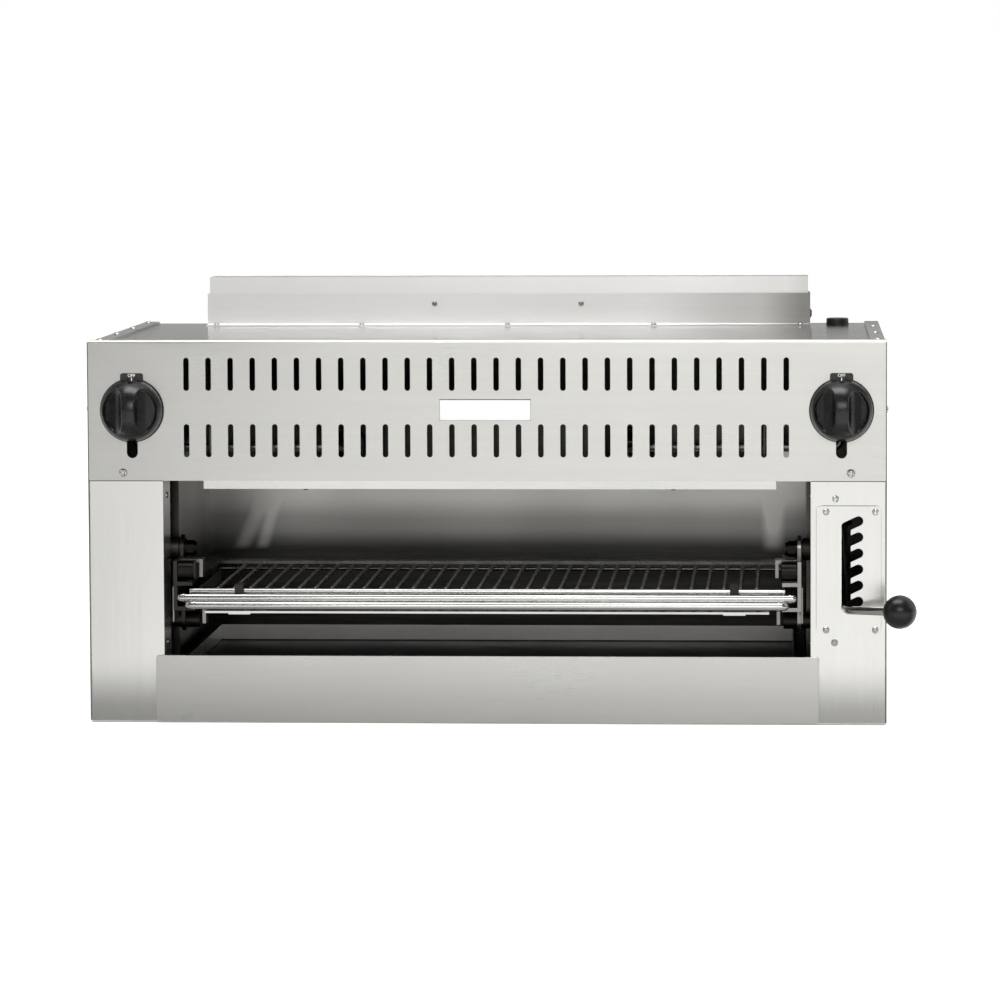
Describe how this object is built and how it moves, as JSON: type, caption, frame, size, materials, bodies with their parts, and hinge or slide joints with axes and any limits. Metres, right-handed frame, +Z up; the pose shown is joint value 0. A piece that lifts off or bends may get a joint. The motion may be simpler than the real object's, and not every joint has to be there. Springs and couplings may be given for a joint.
{
  "type": "cheese melter",
  "caption": "Range-mount gas cheese melter: louvred front with two knobs, spring-balanced grid set by a notched lever, drip tray and rear flue riser.",
  "frame": {"origin": "middle of the base, on the surface that the unit stands on", "axes": "+X to the right seen from the front, +Y to the back, +Z up; the front faces -Y"},
  "size_m": [0.949, 0.564, 0.4954],
  "materials": {
    "stainless": "brushed stainless",
    "bright_steel": "bright",
    "dark_steel": "plain steel",
    "black_plastic": "black",
    "knob_black": "satin black phenolic",
    "gloss_black": "gloss black phenolic",
    "brass_parts": "plain",
    "ceramic": "matt porous"
  },
  "bodies": {
    "casing": {"left_side_panel": "stainless", "right_side_panel": "stainless", "back_panel": "stainless", "top_panel": "stainless", "bottom_panel": "stainless", "louver_panel": "stainless", "left_column": "stainless", "right_column": "stainless", "lever_guide_plate": "stainless", "side_liners": "dark_steel", "rear_liner": "dark_steel", "heat_shield": "dark_steel", "burner_housing": "stainless", "left_burner": "dark_steel", "right_burner": "dark_steel", "ceramic_tiles": "ceramic", "burner_screens": "dark_steel", "orifice_fittings": "brass_parts", "gas_manifold": "dark_steel", "gas_valves": "brass_parts", "burner_tubes": "bright_steel", "pilot_tubes": "bright_steel", "pilot_burners": "dark_steel", "gas_supply_pipe": "dark_steel", "inlet_cap": "black_plastic", "flue_riser": "stainless", "flue_sleeve": "stainless", "name_badge": "bright_steel", "dial_plates": "black_plastic", "tray_runners": "dark_steel", "shaft_bearings": "dark_steel", "spring_anchors": "dark_steel", "lift_springs": "bright_steel", "top_screws": "bright_steel", "front_screws": "bright_steel"},
    "lift_arms": {"lift_shaft": "dark_steel", "left_lift_arm": "dark_steel", "right_lift_arm": "dark_steel", "pivot_nuts": "black_plastic"},
    "carriage": {"left_grid_rail": "stainless", "right_grid_rail": "stainless", "rail_spacers": "black_plastic", "rail_straps": "stainless", "carriage_cross_bar": "bright_steel"},
    "lower_links": {"link_shaft": "dark_steel", "lower_link_arms": "dark_steel"},
    "grid": {"grid_rods": "bright_steel", "grid_frame": "bright_steel", "grid_handle": "bright_steel", "grid_front_strip": "bright_steel"},
    "lever": {"lever_rod": "bright_steel", "ball_knob": "gloss_black"},
    "left_dial": {"left_knob": "knob_black", "left_valve_stem": "bright_steel"},
    "right_dial": {"right_knob": "knob_black", "right_valve_stem": "bright_steel"},
    "tray": {"drip_tray": "stainless", "drip_tray_front": "stainless"}
  },
  "joints": [
    {"name": "lift", "type": "hinge", "parent": "casing", "child": "lift_arms", "pos_m": [0, 0.185, 0.225], "axis": [-1, 0, 0], "range_deg": [0, 12.33], "deforming": ["lift_springs"]},
    {"name": "carriage_level", "type": "hinge", "parent": "lift_arms", "child": "carriage", "pos_m": [0, -0.16, 0.194], "axis": [-1, 0, 0], "range_deg": [-12.38, 0]},
    {"name": "lower_link_turn", "type": "hinge", "parent": "casing", "child": "lower_links", "pos_m": [0, 0.19, 0.141], "axis": [-1, 0, 0], "range_deg": [0, 12.38]},
    {"name": "grid_slide", "type": "slide", "parent": "carriage", "child": "grid", "axis": [0, -1, 0], "range_m": [0, 0.18]},
    {"name": "lever_release", "type": "hinge", "parent": "lift_arms", "child": "lever", "pos_m": [0.4109, 0.095, 0.20589], "axis": [-0.4226, -0.1883, 0.8865], "range_deg": [0, 2.58]},
    {"name": "left_dial_turn", "type": "hinge", "parent": "casing", "child": "left_dial", "pos_m": [-0.4056, -0.235, 0.36], "axis": [0, -1, 0], "range_deg": [0, 90]},
    {"name": "right_dial_turn", "type": "hinge", "parent": "casing", "child": "right_dial", "pos_m": [0.4056, -0.235, 0.36], "axis": [0, -1, 0], "range_deg": [0, 90]},
    {"name": "tray_slide", "type": "slide", "parent": "casing", "child": "tray", "axis": [0, -1, 0], "range_m": [0, 0.34]}
  ],
  "couplings": [
    {"joint": "carriage_level", "follows": "lift", "ratio": -1},
    {"joint": "lower_link_turn", "follows": "lift", "ratio": 1}
  ]
}
